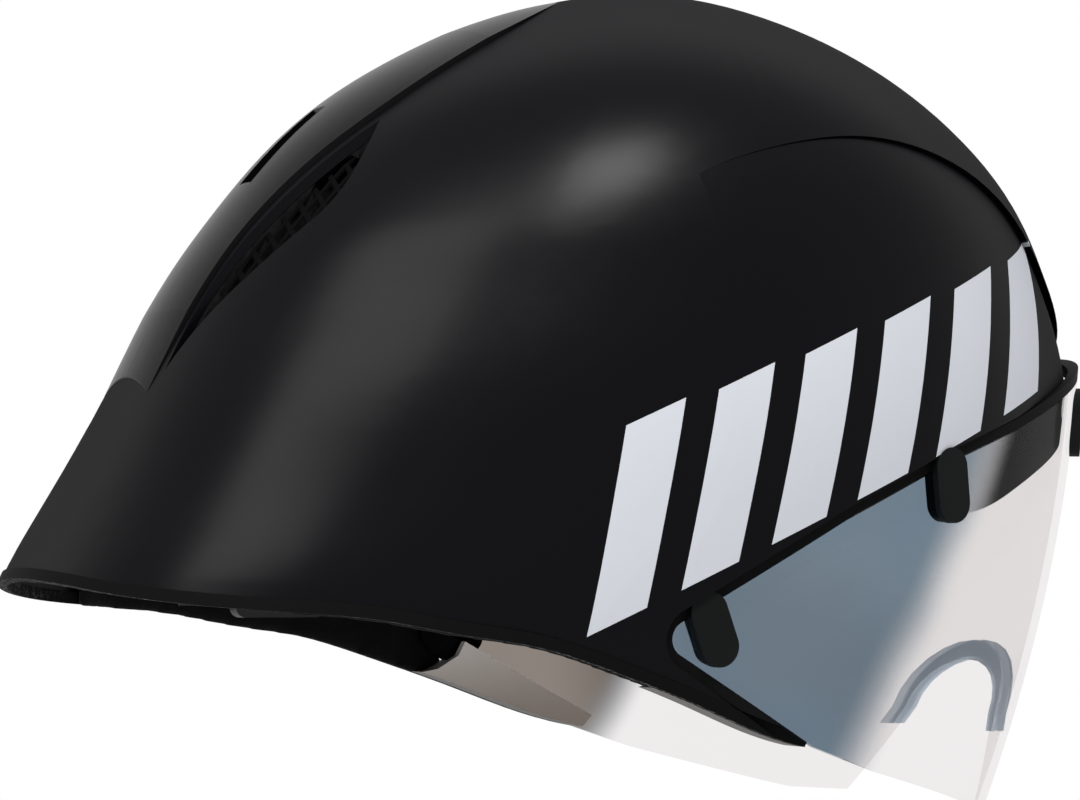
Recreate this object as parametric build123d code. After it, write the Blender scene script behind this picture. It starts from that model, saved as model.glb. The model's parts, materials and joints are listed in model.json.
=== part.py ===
from build123d import *
import math
import os

# Aero time trial helmet, in millimetres. +X is forward, +Y is the wearer's left, +Z is up.
# The origin is the middle of the head, level with the brow.

# Outer form of the shell
crown_height = 118
skirt_depth = 105
tail_reach = 198
brow_reach = 129
shell_half_width = 97
shell_wall = 2.2
bond_gap = 0.2
# Each row holds shares of crown height (or of skirt depth, below the origin), tail reach, tail reach for the
# widest place, brow reach and half width, and then how full the rear and the front quarters are
form_shares = [
    (0.979, 0.146, 0.025, 0.132, 0.227, 0.55, 0.55),
    (0.924, 0.253, 0.015, 0.310, 0.412, 0.55, 0.55),
    (0.839, 0.364, 0.010, 0.481, 0.588, 0.55, 0.56),
    (0.712, 0.490, 0.010, 0.651, 0.753, 0.55, 0.58),
    (0.542, 0.601, 0.020, 0.806, 0.876, 0.55, 0.60),
    (0.339, 0.697, 0.040, 0.915, 0.948, 0.56, 0.60),
    (0.102, 0.783, 0.071, 0.992, 0.990, 0.58, 0.60),
    (-0.152, 0.859, 0.121, 1.000, 1.000, 0.62, 0.60),
    (-0.381, 0.929, 0.202, 0.961, 0.985, 0.66, 0.60),
    (-0.552, 0.970, 0.278, 0.922, 0.969, 0.70, 0.60),
    (-0.762, 0.990, 0.303, 0.868, 0.928, 0.70, 0.60),
    (-1.000, 1.000, 0.303, 0.798, 0.866, 0.70, 0.60),
]
crown_place_share = 0.04

# Head cavity inside the liner
cavity_height = 91
cavity_depth = 110
cavity_rear = 98
cavity_front = 104
cavity_half_width = 80
cavity_shares = [
    (0.973, 0.306, 0.0, 0.308, 0.325, 0.56, 0.56),
    (0.901, 0.531, 0.0, 0.519, 0.575, 0.56, 0.56),
    (0.769, 0.714, 0.0, 0.702, 0.750, 0.56, 0.56),
    (0.549, 0.878, 0.0, 0.865, 0.888, 0.56, 0.56),
    (0.275, 0.959, 0.0, 0.962, 0.963, 0.56, 0.56),
    (0.010, 0.990, 0.0, 1.000, 0.994, 0.56, 0.56),
    (-0.227, 1.000, 0.0, 1.000, 1.000, 0.56, 0.56),
    (-0.545, 1.000, 0.0, 0.981, 1.000, 0.56, 0.56),
    (-1.000, 1.000, 0.0, 0.962, 0.975, 0.56, 0.56),
]

# Lower rim of the shell, from the tail to the tip of the cheek flap
# Places are shares of tail reach (rearward is negative) and of skirt depth (down is negative)
rim_shares = [
    (-1.060, -0.438), (-0.985, -0.468), (-0.920, -0.515), (-0.860, -0.540), (-0.717, -0.567),
    (-0.601, -0.587), (-0.485, -0.626), (-0.382, -0.657), (-0.263, -0.724), (-0.139, -0.807),
    (-0.015, -0.895), (0.045, -0.924),
]
trim_height = 3.4
trim_stand_out = 0.7

# Visor lens. Its wall leans back towards the chin
lens_length = 184
lens_rear = -45
lens_half_width = 96.5
lens_thickness = 2.2
lens_seat_gap = 1.0
lens_top_level = 30
lens_foot_level = -125
# Each row holds the level as a share of the way from the top level to the foot level, and shares of lens
# length and half width, and how full the front corner is
lens_shares = [(0.0, 0.967, 1.0, 0.64), (0.297, 0.929, 0.964, 0.70), (1.0, 0.723, 0.850, 0.82)]
# Outline in side view, as shares of lens length forward and down from the rear, level with the origin
lens_top_shares = [(0.027, -0.364), (0.340, -0.192), (0.520, -0.108), (0.688, -0.048), (0.859, 0.023),
                   (1.060, 0.105)]
lens_foot_shares = [(1.060, -0.640), (0.652, -0.632), (0.530, -0.598), (0.408, -0.565), (0.299, -0.527)]
lens_corner_radius = 5
seal_width = 3.2
seal_gap = 0.3
lens_ledge = 7.5
flap_ledge = 4

# Nose arch in the lens, in front view
nose_top = -75
nose_half_width = 26
nose_leg_level = -91
nose_foot_half_width = 46
nose_band = 5
nose_arch_steps = 12
nose_grip = 0.8

# Brow edge of the shell behind the lens, as shares of lens length
brow_shares = [(0.353, -0.216), (0.386, -0.209), (0.489, -0.188), (0.609, -0.174), (0.701, -0.136),
               (0.772, -0.103), (0.870, -0.060), (1.060, -0.020)]

# Crease between the dome and the side panel under it, as shares of brow reach and crown height
crease_shares = [(-0.800, 0.100), (-0.570, 0.260), (-0.341, 0.398), (-0.202, 0.488), (-0.004, 0.565),
                 (0.209, 0.602), (0.473, 0.565), (0.643, 0.483), (0.830, 0.300), (1.100, 0.020)]
panel_set_back = 2.5
panel_set_down = 0.8

# Pull tabs on the lens, with a magnet in each and one behind it in the shell
tab_width = 11
tab_length = 21
front_tab_length = 20
tab_thickness = 2.8
tab_overlap = 4.5
tab_clear = 0.3
magnet_diameter = 6.4
magnet_thickness = 1.2
magnet_fit = 0.1
# Place along the lens as a share of lens length, and tilt in degrees
side_tab_share = 0.104
side_tab_tilt = 22
middle_tab_share = 0.525
middle_tab_tilt = 8
front_tab_place = 45

# Rear vents beside the spine, in top view, as shares of tail reach and of shell half width
vent_outer_shares = [(-0.495, 0.360), (-0.530, 0.415), (-0.568, 0.443), (-0.622, 0.416), (-0.694, 0.338),
                     (-0.785, 0.235)]
vent_inner_shares = [(-0.785, 0.235), (-0.662, 0.247), (-0.596, 0.290), (-0.495, 0.360)]
spine_shares = [(-0.805, 0.205), (-0.770, 0.207), (-0.662, 0.225), (-0.596, 0.268), (-0.495, 0.335),
                (-0.362, 0.330), (-0.240, 0.240), (-0.140, 0.0)]
spine_thickness = 1.2
# The spine's thickness runs out to nothing at both ends, at this angle
spine_fade_angle = 2.6
spine_rear_shares = (-0.800, -0.020)
spine_front_shares = (-0.170, 0.975)
spine_slot_length = 22
spine_slot_width = 10
spine_slot_place_share = -0.575
spine_screw_place_share = -0.650
spine_screw_spread = 13
spine_screw_head = 4.5
spine_screw_shank = 2.4
spine_screw_length = 7
vent_depth = 14
vent_mesh_wire = 1.0
vent_mesh_pitch = 4.0
air_channel_diameter = 16
air_channel_place_share = 0.354

# Liner foot, ear panels and neck pads
liner_foot = -42
tail_roof = -12
tail_roof_front = -84
tail_roof_step = 8.4
# Seam between the ear panel and the neck pad in side view, as shares of the lens length from the lens's rear
# below the foot of the liner
ear_seam_shares = [(0.114, -0.370), (0.092, -0.408), (0.054, -0.430), (0.000, -0.440), (-0.080, -0.600)]
ear_panel_thickness = 9
neck_pad_rear = -150
neck_pad_top = -18
neck_pad_thickness = 3.2
soft_gap = 0.4

# Comfort pads. Each row is the pad's region from rear to front, near to far side and low to high, as shares
# of the cavity's half width
pad_thickness = 5
brow_pad_shares = (0.70, 2.0, -0.70, 0.70, -0.0625, 0.30)
crown_pad_shares = (-0.60, 0.75, -0.14, 0.14, 0.70, 2.0)
rear_pad_shares = (-2.0, -0.70, -0.50, 0.50, 0.42, 0.75)
side_pad_shares = (-0.45, 0.50, 0.40, 2.0, 0.10, 0.40)

# Fit cradle at the nape: rail, housing, cover, dial, pinion and two racked arms
rail_front = -91.6
rail_depth = 5
rail_width = 24
rail_height = 42
rail_wall = 2
slide_gap = 0.1
slide_travel = 6
tongue_width = 18
tongue_thickness = 1.5
dial_level = -32
band_axis = -12
band_radius = 76
band_thickness = 1.6
housing_half_width = 22
housing_height = 26
housing_front = -81.5
housing_split = -88.5
pinion_teeth = 10
pinion_pitch_radius = 4
tooth_depth = 1.5
tooth_half_thickness = 0.42
tooth_root_share = 1.5
tooth_tip_share = 0.6
mesh_gap = 0.15
rack_height = 4.2
shaft_radius = 2.5
shaft_clearance = 0.06
knob_radius = 13
knob_length = 11
knob_gap = 0.3
screw_radius = 1
screw_grip = 4
screw_inset = 3
screw_fit = 0.02
knob_scallops = 12
knob_scallop_radius = 2.2
arm_height = 14
arm_start_angle = 26
arm_end_angle = 74
arm_lap_angle = 1
rack_tail_angle = 9
rack_room = 0.3
wedge_steps = 6

# Straps, stowed inside
strap_width = 15
strap_thickness = 1.4
strap_plane = 80
strap_level = -52
divider_place = -62
divider_width = 18
divider_height = 18
divider_thickness = 4
lever_thickness = 2
lever_seat_depth = 3
lever_pin_radius = 0.9
lever_pin_clearance = 0.05
rear_anchor_place = -92
front_anchor_place = -42
anchor_length = 18
anchor_height = 6
anchor_peg_radius = 1.5
anchor_peg_length = 5
chin_strap_length = 46
chin_fold_count = 3
buckle_set_back = 6
buckle_length = 28
buckle_width = 22
buckle_thickness = 6
buckle_prong_count = 3

cut_overrun = 60


def side_prism(points, smooth=()):
    """A solid whose outline is given in side view (x, z), through the whole width.

    The outline runs smoothly through the second list, when there is one, and then straight through the first.
    """
    if smooth:
        outline = make_face([Spline(*smooth), Polyline(smooth[-1], *points, smooth[0])])
    else:
        outline = make_face(Polyline(*points, close=True))
    return extrude(Plane.XZ * outline, 2 * shell_half_width, both=True)


def front_prism(points, back):
    """A solid whose outline is given in front view (y, z), from a given x forward."""
    outline = make_face(Polyline(*points, close=True))
    return extrude(Plane.YZ.offset(back) * outline, 2 * brow_reach)


def top_prism(*curves):
    """A solid whose outline is given in top view (x, y) as smooth curves end to end, up through the crown."""
    edges = [Spline(*curve) if len(curve) > 2 else Line(*curve) for curve in curves]
    return extrude(Plane.XY.offset(tail_roof) * make_face(edges), 2 * crown_height)


def box_between(low, high):
    size = [abs(b - a) for a, b in zip(low, high)]
    middle = [(a + b) / 2 for a, b in zip(low, high)]
    return Pos(*middle) * Box(*size)


def rod_along_x(start, end, y, z, radius):
    return Pos((start + end) / 2, y, z) * Rot(0, 90, 0) * Cylinder(radius, end - start)


def plan_wire(rear, middle, front, half_width, rear_full, front_full, level):
    """A closed egg-shaped wire of four cubic quarters at one level."""
    edges = []
    for side in (1, -1):
        w = side * half_width
        rear_span = middle - rear
        front_span = front - middle
        edges.append(Bezier((rear, 0, level), (rear, w * rear_full, level),
                            (middle - rear_span * rear_full, w, level), (middle, w, level)))
        edges.append(Bezier((middle, w, level), (middle + front_span * front_full, w, level),
                            (front, w * front_full, level), (front, 0, level)))
    return Wire(edges)


def egg_loft(shares, height, depth, rear, front, half_width, crown_place, inset):
    """A closed form through egg-shaped levels, set in all round by the inset."""
    sections = [Vertex(crown_place, 0, height - inset)]
    for level, back, wide, fore, side, rear_full, front_full in shares:
        z = level * (height - inset) if level > 0 else level * depth
        sections.append(plan_wire(-back * rear + inset, -wide * rear, fore * front - inset,
                                  side * half_width - inset, rear_full, front_full, z))
    return Solid.make_loft(sections)


def shell_loft(inset):
    return egg_loft(form_shares, crown_height, skirt_depth, tail_reach, brow_reach, shell_half_width,
                    -crown_place_share * tail_reach, inset)


def head_cavity(inset=0):
    return egg_loft(cavity_shares, cavity_height, cavity_depth, cavity_rear, cavity_front, cavity_half_width,
                    0, inset)


def lens_body(inset):
    """The solid inside the lens wall, whose outer face is at inset zero."""
    sections = []
    for level, reach, side, full in lens_shares:
        z = lens_top_level + (lens_foot_level - lens_top_level) * level
        front = lens_rear + reach * lens_length - inset
        half = side * lens_half_width - inset
        span = front - lens_rear
        edges = [Bezier((lens_rear, half, z), (lens_rear + span * full, half, z), (front, half * full, z),
                        (front, 0, z)),
                 Bezier((front, 0, z), (front, -half * full, z), (lens_rear + span * full, -half, z),
                        (lens_rear, -half, z)),
                 Line((lens_rear, -half, z), (lens_rear, half, z))]
        sections.append(Wire(edges))
    return Solid.make_loft(sections)


def lens_point(pair):
    return (lens_rear + pair[0] * lens_length, pair[1] * lens_length)


def lens_outline():
    """Side view of the lens, as a flat face in the XZ plane's own axes."""
    points = [lens_point(p) for p in lens_top_shares + lens_foot_shares]
    outline = make_face(Polyline(*points, close=True))
    rear_corner = outline.vertices().sort_by(Axis.X)[:1]
    return fillet(rear_corner, lens_corner_radius)


def outline_prism(grow=0):
    outline = lens_outline()
    if grow:
        outline = offset(outline, amount=grow)
    return extrude(Plane.XZ * outline, 2 * shell_half_width, both=True)


def rim_points(raise_by=0):
    return [(x * tail_reach, z * skirt_depth + raise_by) for x, z in rim_shares]


def below_rim(raise_by=0):
    """Everything under the lower rim, behind the tip of the cheek flap."""
    points = rim_points(raise_by)
    tip = points[-1]
    low = -2 * skirt_depth
    return side_prism([(tip[0], low), (points[0][0], low)], points)


def face_opening():
    """Everything in front of the cheek flaps and under the brow."""
    top_a = lens_point(lens_top_shares[0])
    top_b = lens_point(lens_top_shares[1])
    foot_b = lens_point(lens_foot_shares[-1])
    tip = rim_points()[-1]
    flap = math.atan2(foot_b[1] - top_a[1], foot_b[0] - top_a[0])
    rise = math.atan2(top_b[1] - top_a[1], top_b[0] - top_a[0])
    along_flap = lens_ledge / math.sin(rise - flap)
    along_top = flap_ledge / math.sin(rise - flap)
    corner = (top_a[0] + along_flap * math.cos(flap) + along_top * math.cos(rise),
              top_a[1] + along_flap * math.sin(flap) + along_top * math.sin(rise))
    flap_foot = (foot_b[0] - flap_ledge * math.sin(flap), foot_b[1] + flap_ledge * math.cos(flap))
    brow = [lens_point(p) for p in brow_shares]
    low = -2 * skirt_depth
    return side_prism([(brow[-1][0], low), (tip[0], low), tip, flap_foot, corner], brow)


def helmet_form(inset):
    """The outer form with the side panels under the crease and the lens seat let in."""
    crease = [(x * brow_reach, z * crown_height) for x, z in crease_shares]
    low = -2 * skirt_depth
    under = side_prism([(crease[-1][0], low), (crease[0][0], low)], crease)
    form = shell_loft(inset) - (under - Pos(-panel_set_back, 0, -panel_set_down) * shell_loft(inset))
    seat = outline_prism(seal_width + seal_gap) - lens_body(lens_thickness + lens_seat_gap + inset)
    return form - seat


def surface_place(solid, start, direction):
    """Where a line first meets the outside of a solid, and the outward direction there."""
    hits = solid.find_intersection_points(Axis(start, direction))
    if not hits:
        raise ValueError(f"no surface along {start}")
    far = max(hits, key=lambda hit: (hit[0] - Vector(*start)).dot(Vector(*direction)))
    normal = far[1]
    if normal.dot(Vector(*direction)) < 0:
        normal = normal * -1
    return far[0], normal


nodes = {}


def add(name, part):
    nodes[name] = part


def build_forms():
    forms = {}
    for key, inset in (("outer", 0), ("inner", shell_wall), ("liner", shell_wall + bond_gap),
                       ("trim", -trim_stand_out), ("soft", shell_wall + soft_gap),
                       ("neck", shell_wall + soft_gap + neck_pad_thickness)):
        forms[key] = helmet_form(inset)
    forms["panel"] = shell_loft(shell_wall + soft_gap + ear_panel_thickness)
    return forms


def vent_cut(side):
    curves = []
    for shares in (vent_outer_shares, vent_inner_shares):
        curves.append([(x * tail_reach, side * y * shell_half_width) for x, y in shares])
    return top_prism(*curves)


def spine_prism():
    right = [(x * tail_reach, -y * shell_half_width) for x, y in spine_shares]
    left = [(x, -y) for x, y in reversed(right)]
    return top_prism(right, left, [left[-1], right[0]])


def spine_slot():
    return Pos(spine_slot_place_share * tail_reach, 0, crown_height / 2) * Box(
        spine_slot_length, spine_slot_width, 2 * crown_height)


def build_shell(forms, opening):
    shell = forms["outer"] - forms["inner"] - below_rim(trim_height) - opening
    for side in (1, -1):
        shell = shell - vent_cut(side)
    shell = shell - spine_slot()
    for side in (1, -1):
        shell = shell - spine_screw(forms["outer"], side, shaft_clearance)
    for place, outward in magnet_places(forms["outer"]):
        shell = shell - magnet(place, outward, magnet_fit)
    return shell


def build_trim(forms, opening):
    band = below_rim(trim_height) - below_rim()
    return (forms["trim"] - forms["liner"]) & band - opening


def liner_foot_cut():
    """Everything under the foot of the liner: high in the hollow tail, lower beside the ears."""
    rear = -2 * tail_reach
    low = -2 * skirt_depth
    return side_prism([(rear, tail_roof), (tail_roof_front, tail_roof),
                       (tail_roof_front + tail_roof_step, liner_foot), (brow_reach, liner_foot),
                       (brow_reach, low), (rear, low)])


def air_channel(side):
    start = Vector(vent_outer_shares[2][0] * tail_reach, side * air_channel_place_share * shell_half_width,
                   crown_height / 2)
    end = Vector(-cavity_rear / 2, side * cavity_half_width / 4, crown_height / 4)
    way = end - start
    middle = (start + end) * 0.5
    return Plane(origin=middle, z_dir=way) * Cylinder(air_channel_diameter / 2, way.length)


def build_liner(forms, opening):
    liner = forms["liner"] - head_cavity() - liner_foot_cut() - opening
    for side in (1, -1):
        pocket = vent_cut(side) - Pos(0, 0, -vent_depth) * forms["liner"]
        liner = liner - pocket - air_channel(side)
    slot = spine_slot() - Pos(0, 0, -vent_depth) * forms["liner"]
    liner = liner - slot
    for side in (1, -1):
        liner = liner - spine_screw(forms["outer"], side, shaft_clearance)
        for x in (rear_anchor_place, front_anchor_place):
            liner = liner - anchor_peg(x, side, shaft_clearance)
    half = rail_width / 2 + soft_gap
    rail_room = box_between((rail_front - rail_depth - soft_gap, -half, tail_roof - cut_overrun),
                            (rail_front, half, tail_roof + rail_height + soft_gap))
    liner = liner - rail_room
    return liner.solids().sort_by(SortBy.VOLUME)[-1]


def ear_seam(gap=0):
    """The seam in side view, from the liner's foot down, moved rearward and up by the gap."""
    seam = [(lens_rear + x * lens_length - gap, z * lens_length + gap) for x, z in ear_seam_shares]
    return [(seam[0][0], liner_foot)] + seam


def side_half(side):
    """Everything on one side of the helmet."""
    return box_between((-2 * tail_reach, 0, -2 * skirt_depth), (2 * brow_reach, side * 2 * shell_half_width,
                                                                2 * crown_height))


def build_ear_panel(forms, opening, side):
    seam = ear_seam()
    region = side_prism(seam + [(brow_reach, seam[-1][1]), (brow_reach, seam[0][1])])
    panel = (forms["soft"] - forms["panel"]) & region & side_half(side)
    panel = panel - below_rim() - opening
    return panel.solids().sort_by(SortBy.VOLUME)[-1]


def build_neck_pad(forms, side):
    rear = neck_pad_rear
    step = tail_roof_front - soft_gap
    seam = ear_seam(soft_gap)
    region = side_prism([(rear, neck_pad_top), (step, neck_pad_top), (step, seam[0][1])] + seam
                        + [(rear, seam[-1][1])])
    reach = anchor_length / 2 + soft_gap
    anchor_room = box_between((rear_anchor_place - reach, 0, liner_foot - anchor_height - soft_gap),
                              (rear_anchor_place + reach, side * 2 * strap_plane, liner_foot + soft_gap))
    pad = (forms["soft"] - forms["neck"]) & region & side_half(side)
    return (pad - below_rim() - anchor_room).solids().sort_by(SortBy.VOLUME)[-1]


def tilted_form(place_shares, angle):
    """The outer form turned in side view about a place on its middle line."""
    pivot = Pos(place_shares[0] * tail_reach, 0, place_shares[1] * crown_height)
    return pivot * Rot(0, angle, 0) * pivot.inverse() * shell_loft(0)


def build_spine(forms):
    skin = shell_loft(-spine_thickness) - shell_loft(-bond_gap / 4)
    spine = (skin & spine_prism()) - spine_slot()
    spine = spine & tilted_form(spine_rear_shares, -spine_fade_angle)
    spine = spine & tilted_form(spine_front_shares, spine_fade_angle)
    for side in (1, -1):
        spine = spine - spine_screw(forms["outer"], side, 0)
    return spine.solids().sort_by(SortBy.VOLUME)[-1]


def spine_screw(outer, side, clearance):
    start = (spine_screw_place_share * tail_reach, side * spine_screw_spread, 0)
    place, outward = surface_place(outer, start, (0, 0, 1))
    seat = Plane(origin=place + outward * spine_thickness, z_dir=outward)
    head_radius = spine_screw_head / 2 + clearance
    shank_radius = spine_screw_shank / 2 + clearance
    head = Pos(0, 0, -spine_thickness / 4) * Cylinder(head_radius, spine_thickness / 2)
    shank = Pos(0, 0, -spine_screw_length / 2) * Cylinder(shank_radius, spine_screw_length)
    return seat * (head + shank)


def build_vent_mesh(forms):
    """A coarse guard let into the liner behind each rear vent."""
    skin = Pos(0, 0, -vent_mesh_wire - bond_gap) * forms["liner"]
    skin = skin - Pos(0, 0, -2 * vent_mesh_wire - bond_gap) * forms["liner"]
    guards = []
    first = vent_outer_shares[5][0] * tail_reach
    last = vent_outer_shares[0][0] * tail_reach
    wide = vent_outer_shares[2][1] * shell_half_width + vent_mesh_pitch
    for side in (1, -1):
        wires = []
        across = first
        while across < last:
            wires.append(box_between((across, 0, 0), (across + vent_mesh_wire, side * wide, crown_height)))
            across += vent_mesh_pitch
        along = vent_mesh_pitch
        while along < wide:
            wires.append(box_between((first, side * along, 0), (last, side * (along + vent_mesh_wire),
                                                                 crown_height)))
            along += vent_mesh_pitch
        guard = skin & vent_cut(side) & (wires[0] + wires[1:])
        guards.append(guard)
    return guards


def magnet(place, outward, clearance=0, thickness=magnet_thickness, lift=0):
    disc = Cylinder(magnet_diameter / 2 + clearance, thickness + clearance)
    return Plane(origin=place + outward * (lift - thickness / 2), z_dir=outward) * disc


def tab_centres():
    """Each tab's centre on the lens top edge in side view, with its tilt, for the side and middle tabs."""
    places = []
    for share, tilt in ((side_tab_share, side_tab_tilt), (middle_tab_share, middle_tab_tilt)):
        top = [lens_point(p) for p in lens_top_shares]
        x = lens_rear + share * lens_length
        for (xa, za), (xb, zb) in zip(top, top[1:]):
            if xa <= x <= xb:
                z = za + (zb - za) * (x - xa) / (xb - xa)
        places.append((x, z, tilt))
    return places


def front_tab_level():
    return lens_point(lens_top_shares[-2])[1]


def magnet_places(solid):
    """Where each magnet lies on a solid, just under the top edge of the lens."""
    places = []
    drop = magnet_diameter / 2 + seal_gap
    for side in (1, -1):
        for x, z, tilt in tab_centres():
            places.append(surface_place(solid, (x, 0, z - drop), (0, side, 0)))
        front = (0, side * front_tab_place, front_tab_level() - tab_width / 2)
        places.append(surface_place(solid, front, (1, 0, 0)))
    return places


def slot_face(x, z, tilt):
    turn = math.radians(tilt)
    down = tab_length / 2 - tab_overlap
    centre = (x + down * math.sin(turn), z - down * math.cos(turn))
    return Pos(*centre) * Rot(0, 0, 90 + tilt) * SlotOverall(tab_length, tab_width)


def build_tabs(forms):
    """Rubber pull tabs on the lens: side, middle and front, on each side."""
    skin = lens_body(-tab_thickness) - lens_body(0)
    room = helmet_form(-tab_clear)
    tabs = {}
    names = ("side", "middle")
    for side, hand in ((1, "left"), (-1, "right")):
        for name, (x, z, tilt) in zip(names, tab_centres()):
            slot = extrude(Plane.XZ * slot_face(x, z, tilt), -side * 2 * shell_half_width)
            tabs[f"tab_{name}_{hand}"] = skin & slot
        seat = Pos(side * front_tab_place, front_tab_level() - front_tab_length / 2) * Rot(0, 0, 90)
        front = Plane.YZ * (seat * SlotOverall(front_tab_length, tab_width))
        tabs[f"tab_front_{hand}"] = skin & extrude(front, 2 * brow_reach)
    places = magnet_places(lens_body(0))
    for name in tabs:
        tab = tabs[name] - room
        for place, outward in places:
            tab = tab - magnet(place, outward, magnet_fit, lift=magnet_thickness + tab_clear)
        tabs[name] = tab.solids().sort_by(SortBy.VOLUME)[-1]
    magnets = [magnet(place, outward, lift=magnet_thickness + tab_clear) for place, outward in places]
    return tabs, magnets


def nose_points(grow=0):
    half = nose_half_width + grow
    top = nose_top + grow
    points = []
    for step in range(nose_arch_steps + 1):
        turn = math.pi * step / nose_arch_steps
        points.append((half * math.cos(turn), nose_leg_level + (top - nose_leg_level) * math.sin(turn)))
    foot = lens_foot_level
    return points + [(-nose_foot_half_width - grow, foot), (nose_foot_half_width + grow, foot)]


def nose_arch(grow=0):
    return front_prism(nose_points(grow), lens_rear + lens_length / 3)


def build_lens():
    lens = (lens_body(0) - lens_body(lens_thickness)) & outline_prism()
    return lens - nose_arch()


def build_nose_seal(lens):
    band = lens_body(-nose_grip) - lens_body(lens_thickness + nose_grip)
    above = box_between((0, -shell_half_width, nose_leg_level - nose_band),
                        (brow_reach, shell_half_width, 0))
    ring = (nose_arch(nose_band) - nose_arch(-nose_grip)) & band & above
    return (ring - lens).solids().sort_by(SortBy.VOLUME)[-1]


def build_visor_seal(forms):
    """The strip that fills the seat's edge above the lens and behind it."""
    ring = outline_prism(seal_width) - outline_prism(seal_gap)
    skin = lens_body(0) - lens_body(lens_thickness + lens_seat_gap - seal_gap)
    strip = ring & skin
    foot = lens_point(lens_foot_shares[-1])
    strip = strip - box_between((foot[0], -2 * shell_half_width, 2 * lens_foot_level),
                                (2 * brow_reach, 2 * shell_half_width, foot[1] + lens_ledge))
    return (strip - below_rim(trim_height + seal_gap)).solids().sort_by(SortBy.VOLUME)[-1]


def pad(skin, shares, side=1):
    rear, front, near, far, low, high = [share * cavity_half_width for share in shares]
    return skin & box_between((rear, side * near, low), (front, side * far, high))


def build_pads(opening):
    skin = head_cavity(soft_gap) - head_cavity(soft_gap + pad_thickness)
    pads = {
        "brow_pad": pad(skin, brow_pad_shares),
        "crown_pad": pad(skin, crown_pad_shares),
        "rear_pad": pad(skin, rear_pad_shares),
    }
    for side, hand in ((1, "left"), (-1, "right")):
        pads[f"side_pad_{hand}"] = pad(skin, side_pad_shares, side)
    for name in pads:
        pads[name] = (pads[name] - opening).solids().sort_by(SortBy.VOLUME)[-1]
    return pads


def build_rail():
    back = rail_front - rail_depth
    foot = tail_roof
    body = box_between((back, -rail_width / 2, foot), (rail_front, rail_width / 2, foot + rail_height))
    room = tongue_width / 2 + slide_gap
    lip = rail_front - rail_wall / 2
    channel = box_between((back + rail_wall, -room, foot - cut_overrun),
                          (lip, room, foot + rail_height - rail_wall))
    window = box_between((lip - slide_gap, -room + rail_wall, foot - cut_overrun),
                         (rail_front + cut_overrun, room - rail_wall, foot + rail_height - rail_wall))
    return body - channel - window


def build_housing():
    """The rear half of the dial housing, with the tongue that slides in the rail."""
    back = rail_front - rail_depth + rail_wall + slide_gap
    top = dial_level + housing_height / 2
    low = dial_level - housing_height / 2
    body = box_between((back, -housing_half_width, low), (housing_split, housing_half_width, top))
    tongue_top = tail_roof + rail_height - rail_wall - slide_gap - slide_travel
    body = body + box_between((back, -tongue_width / 2, top), (back + tongue_thickness, tongue_width / 2,
                                                                tongue_top))
    body = body - housing_room() - rod_along_x(2 * back, 0, 0, dial_level, shaft_radius + shaft_clearance)
    for screw in build_cover_screws(screw_fit):
        body = body - screw
    return body


def build_cover():
    top = dial_level + housing_height / 2
    low = dial_level - housing_height / 2
    body = box_between((housing_split, -housing_half_width, low), (housing_front, housing_half_width, top))
    for screw in build_cover_screws(screw_fit):
        body = body - screw
    return body - housing_room()


def band_ring(inner, outer, low, high):
    middle = (low + high) / 2
    ring = Cylinder(outer, high - low) - Cylinder(inner, high - low)
    return Pos(band_axis, 0, middle) * ring


def housing_room():
    """The space inside the housing: the curved way of the racks, and the pinion's well."""
    inner = band_radius - band_thickness / 2 - rack_room
    outer = band_radius + band_thickness / 2 + rack_room
    reach = pinion_pitch_radius + tooth_depth / 2 + rack_height + rack_room
    ring = band_ring(inner, outer, dial_level - reach, dial_level + reach)
    middle = band_axis - band_radius
    half = band_thickness + rack_room
    radius = pinion_pitch_radius + tooth_depth / 2 + rack_room
    well = rod_along_x(middle - half, middle + half, 0, dial_level, radius)
    return ring + well


def tooth_outline(root, tip):
    wide = tooth_half_thickness * tooth_root_share
    narrow = tooth_half_thickness * tooth_tip_share
    return [(-wide, root), (-narrow, tip), (narrow, tip), (wide, root)]


def build_pinion():
    middle = band_axis - band_radius
    width = 2 * band_thickness
    root = pinion_pitch_radius - tooth_depth / 2
    tip = pinion_pitch_radius + tooth_depth / 2
    gear = Cylinder(root, width)
    for tooth in range(pinion_teeth):
        outline = make_face(Polyline(*tooth_outline(root - tooth_depth / 4, tip), close=True))
        solid = extrude(outline, width / 2, both=True)
        gear = gear + Rot(0, 0, 360 * tooth / pinion_teeth) * solid
    gear = Pos(middle, 0, dial_level) * Rot(0, 90, 0) * gear
    back = rail_front - rail_depth
    shaft = rod_along_x(back - knob_gap - knob_length / 2, middle, 0, dial_level, shaft_radius)
    return gear + shaft


def build_knob():
    back = rail_front - rail_depth + rail_wall + slide_gap
    front = back - knob_gap
    knob = rod_along_x(front - knob_length, front, 0, dial_level, knob_radius)
    edges = knob.edges().filter_by(GeomType.CIRCLE).sort_by(Axis.X)[:1]
    knob = chamfer(edges, knob_scallop_radius / 2)
    for scallop in range(knob_scallops):
        turn = 2 * math.pi * scallop / knob_scallops
        knob = knob - rod_along_x(front - 2 * knob_length, front + knob_length,
                                  (knob_radius + knob_scallop_radius / 2) * math.cos(turn),
                                  dial_level + (knob_radius + knob_scallop_radius / 2) * math.sin(turn),
                                  knob_scallop_radius)
    shaft_end = rail_front - rail_depth - knob_gap - knob_length / 2
    return knob - rod_along_x(shaft_end - knob_gap, 0, 0, dial_level, shaft_radius + knob_gap / 10)


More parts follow.
